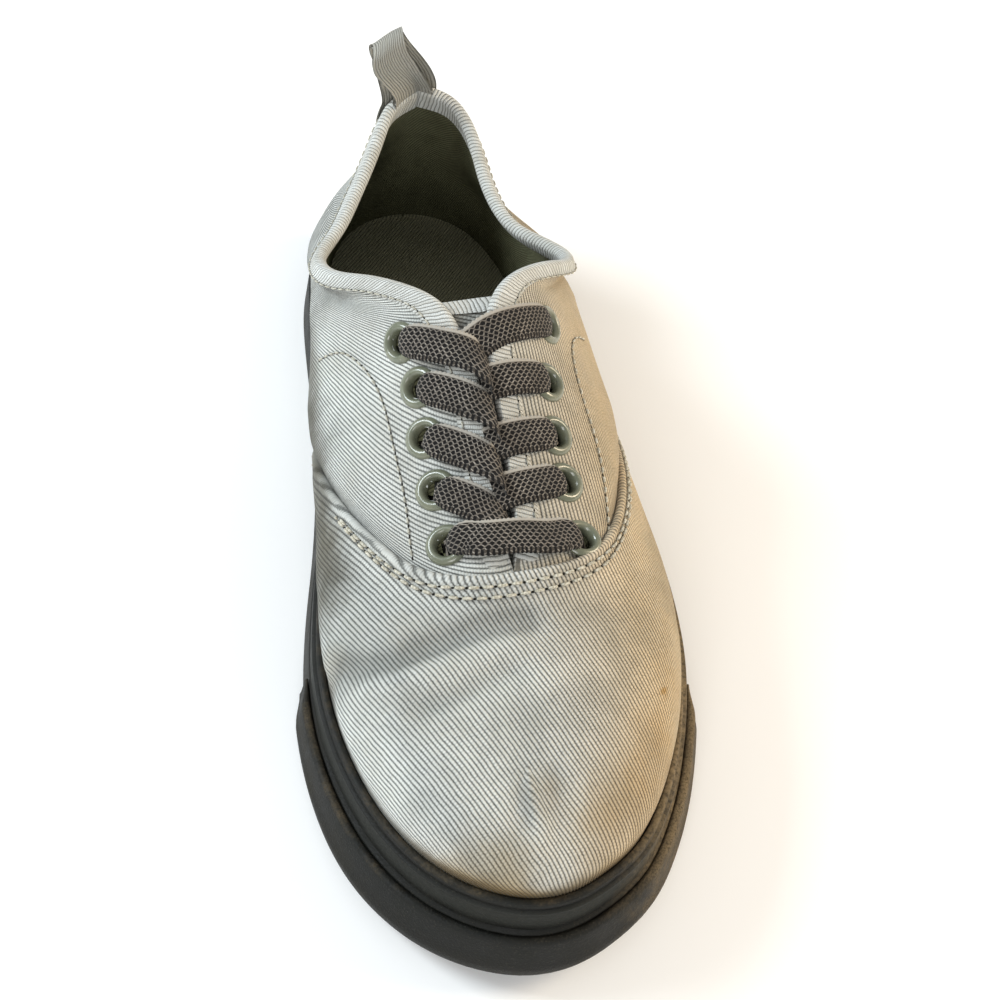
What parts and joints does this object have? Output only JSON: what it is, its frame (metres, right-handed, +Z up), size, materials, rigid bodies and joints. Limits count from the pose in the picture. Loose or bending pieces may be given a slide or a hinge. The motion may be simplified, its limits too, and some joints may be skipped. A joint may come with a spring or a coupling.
{
  "type": "sneaker",
  "caption": "Low canvas sneaker for the left foot with a rubber rim and toe strip, eyelets, flat elastic lacing and a heel pull loop, worn and creased.",
  "frame": {"origin": "middle of the outline seen from above, on the floor under the sole", "axes": "+Z up, +Y along the shoe towards the heel with the toe at -Y, +X towards the outer (lateral) side of the left foot"},
  "size_m": [0.1184, 0.2904, 0.1023],
  "materials": {
    "canvas": "worn light grey cotton twill",
    "binding_tape": "ribbed grey cotton tape",
    "rim_rubber": "dusty satin dark olive rubber",
    "tread_rubber": "matt dark rubber",
    "insole_cloth": "dark olive grey lining cloth",
    "painted_eyelet": "glossy grey green enamel",
    "lace_knit": "dark warm grey flat elastic knit"
  },
  "bodies": {
    "root": {"outsole": "tread_rubber", "foxing": "rim_rubber", "toe_bumper": "rim_rubber", "insole": "insole_cloth", "upper": "canvas", "collar_binding": "binding_tape", "tongue": "canvas", "pull_loop": "binding_tape", "eyelet_medial_1": "painted_eyelet", "eyelet_medial_2": "painted_eyelet", "eyelet_medial_3": "painted_eyelet", "eyelet_medial_4": "painted_eyelet", "eyelet_medial_5": "painted_eyelet", "eyelet_lateral_1": "painted_eyelet", "eyelet_lateral_2": "painted_eyelet", "eyelet_lateral_3": "painted_eyelet", "eyelet_lateral_4": "painted_eyelet", "eyelet_lateral_5": "painted_eyelet", "lace_bar_1": "lace_knit", "lace_crossing_2": "lace_knit", "lace_crossing_3": "lace_knit", "lace_crossing_4": "lace_knit", "lace_crossing_5": "lace_knit"}
  },
  "joints": []
}
